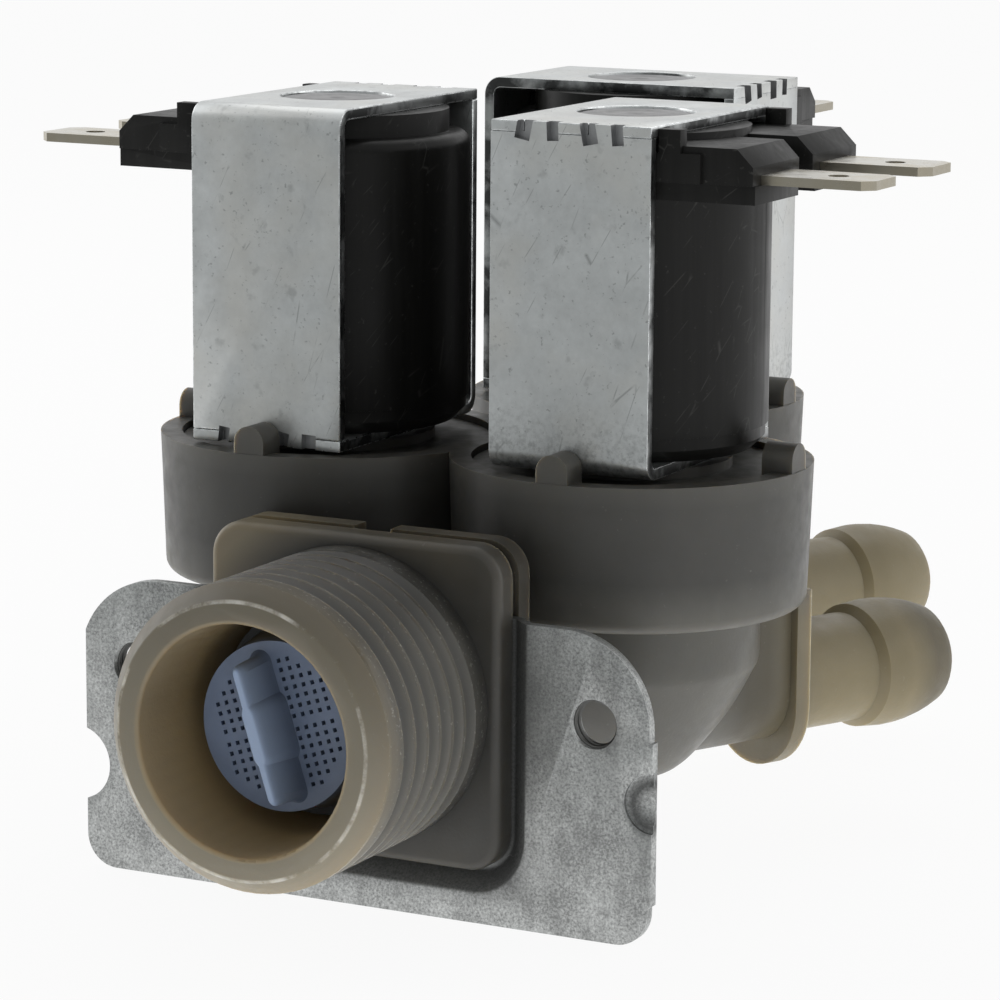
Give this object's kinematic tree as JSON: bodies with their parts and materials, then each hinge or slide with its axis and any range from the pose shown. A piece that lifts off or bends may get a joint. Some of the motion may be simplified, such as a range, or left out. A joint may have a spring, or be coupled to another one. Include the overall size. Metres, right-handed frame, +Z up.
{
  "type": "washing machine inlet valve",
  "caption": "Washing machine inlet valve: threaded inlet with a filter, screw bracket, moulded body, solenoid coils in steel yokes and angled hose tails.",
  "frame": {"origin": "on the inlet's axis, at the front face of the flange behind the threaded spigot", "axes": "-Y out of the inlet, +X to the right seen from the inlet, +Z up along the coils"},
  "size_m": [0.0824, 0.1101, 0.0683],
  "materials": {
    "body_nylon": "moulded nylon, semi-matt",
    "galvanised_steel": "galvanised",
    "zinc_steel": "zinc plated",
    "coil_plastic": "moulded, satin",
    "blue_nylon": "moulded, satin",
    "terminal_brass": "tinned brass",
    "black_rubber": "matt",
    "white_nylon": "moulded, satin",
    "copper_wire": "enamelled copper wire",
    "plunger_steel": "stainless, turned"
  },
  "bodies": {
    "housing": {"valve_body": "body_nylon", "mounting_bracket": "galvanised_steel", "inlet_filter": "blue_nylon", "flow_washer": "black_rubber", "left_yoke_upper": "zinc_steel", "left_yoke_lower": "zinc_steel", "left_coil_case": "coil_plastic", "left_bobbin": "white_nylon", "left_winding": "copper_wire", "left_terminal_a": "terminal_brass", "left_terminal_b": "terminal_brass", "left_lower_sleeve": "zinc_steel", "left_upper_sleeve": "zinc_steel", "left_guide_tube": "body_nylon", "left_plunger_spring": "plunger_steel", "left_diaphragm": "black_rubber", "right_yoke_upper": "zinc_steel", "right_yoke_lower": "zinc_steel", "right_coil_case": "coil_plastic", "right_bobbin": "white_nylon", "right_winding": "copper_wire", "right_terminal_a": "terminal_brass", "right_terminal_b": "terminal_brass", "right_lower_sleeve": "zinc_steel", "right_upper_sleeve": "zinc_steel", "right_guide_tube": "body_nylon", "right_plunger_spring": "plunger_steel", "right_diaphragm": "black_rubber", "rear_yoke_upper": "zinc_steel", "rear_yoke_lower": "zinc_steel", "rear_coil_case": "coil_plastic", "rear_bobbin": "white_nylon", "rear_winding": "copper_wire", "rear_terminal_a": "terminal_brass", "rear_terminal_b": "terminal_brass", "rear_lower_sleeve": "zinc_steel", "rear_upper_sleeve": "zinc_steel", "rear_guide_tube": "body_nylon", "rear_plunger_spring": "plunger_steel", "rear_diaphragm": "black_rubber"},
    "left_plunger_body": {"left_plunger": "plunger_steel", "left_plunger_tip": "black_rubber"},
    "left_insert_body": {"left_diaphragm_insert": "white_nylon"},
    "right_plunger_body": {"right_plunger": "plunger_steel", "right_plunger_tip": "black_rubber"},
    "right_insert_body": {"right_diaphragm_insert": "white_nylon"},
    "rear_plunger_body": {"rear_plunger": "plunger_steel", "rear_plunger_tip": "black_rubber"},
    "rear_insert_body": {"rear_diaphragm_insert": "white_nylon"}
  },
  "joints": [
    {"name": "left_plunger_slide", "type": "slide", "parent": "housing", "child": "left_plunger_body", "axis": [0, 0, 1], "range_m": [0, 0.0026], "stiffness_N_per_m": 60, "springref_m": -0.01, "deforming": ["left_plunger_spring"]},
    {"name": "left_diaphragm_lift", "type": "slide", "parent": "housing", "child": "left_insert_body", "axis": [0, 0, 1], "range_m": [0, 0.0016], "deforming": ["left_diaphragm"]},
    {"name": "right_plunger_slide", "type": "slide", "parent": "housing", "child": "right_plunger_body", "axis": [0, 0, 1], "range_m": [0, 0.0026], "stiffness_N_per_m": 60, "springref_m": -0.01, "deforming": ["right_plunger_spring"]},
    {"name": "right_diaphragm_lift", "type": "slide", "parent": "housing", "child": "right_insert_body", "axis": [0, 0, 1], "range_m": [0, 0.0016], "deforming": ["right_diaphragm"]},
    {"name": "rear_plunger_slide", "type": "slide", "parent": "housing", "child": "rear_plunger_body", "axis": [0, 0, 1], "range_m": [0, 0.0026], "stiffness_N_per_m": 60, "springref_m": -0.01, "deforming": ["rear_plunger_spring"]},
    {"name": "rear_diaphragm_lift", "type": "slide", "parent": "housing", "child": "rear_insert_body", "axis": [0, 0, 1], "range_m": [0, 0.0016], "deforming": ["rear_diaphragm"]}
  ],
  "couplings": [
    {"joint": "left_diaphragm_lift", "follows": "left_plunger_slide", "ratio": 0.6},
    {"joint": "right_diaphragm_lift", "follows": "right_plunger_slide", "ratio": 0.6},
    {"joint": "rear_diaphragm_lift", "follows": "rear_plunger_slide", "ratio": 0.6}
  ]
}
